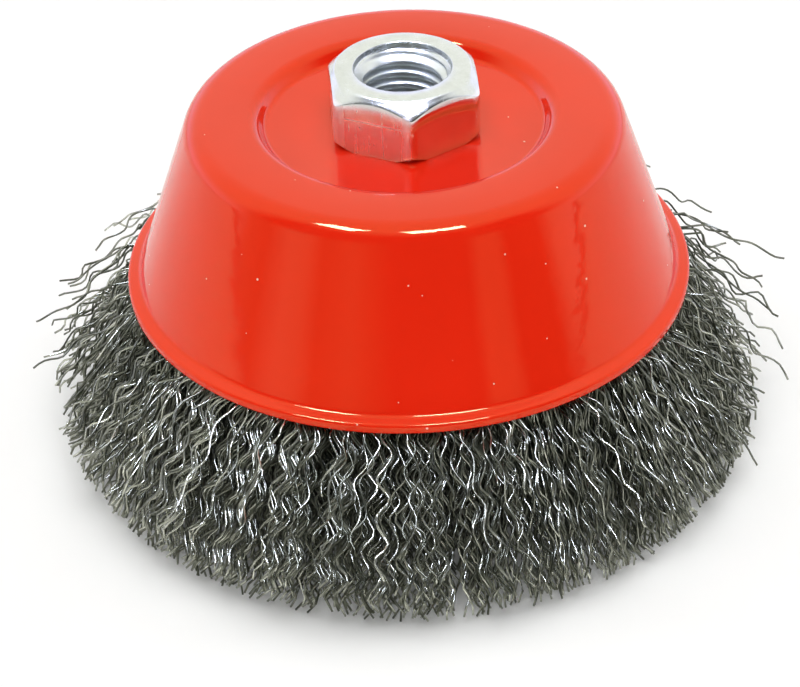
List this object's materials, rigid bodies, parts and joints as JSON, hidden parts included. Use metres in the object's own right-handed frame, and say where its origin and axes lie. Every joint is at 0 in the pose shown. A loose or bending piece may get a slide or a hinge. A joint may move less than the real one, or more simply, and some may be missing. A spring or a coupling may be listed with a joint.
{
  "type": "wire cup brush",
  "caption": "Crimped wire cup brush: red pressed steel cup, hexagonal threaded drive nut and a flared skirt of crimped steel wire.",
  "frame": {"origin": "centre of the trimmed wire face, which the brush stands on", "axes": "+Z along the spindle axis, from the wire face to the nut; one corner of the nut points 4.7 degrees off -Y"},
  "size_m": [0.108, 0.1078, 0.0642],
  "materials": {
    "red_paint": "high gloss enamel",
    "zinc_plate": "bright zinc plate, satin to bright",
    "pressed_steel": "plain pressed steel",
    "steel_wire": "drawn carbon steel wire, dark with bright glints"
  },
  "bodies": {
    "root": {"cup": "red_paint", "nut": "zinc_plate", "clamping_plate": "pressed_steel", "holding_ring": "pressed_steel", "wire_locks": "steel_wire"}
  },
  "joints": []
}
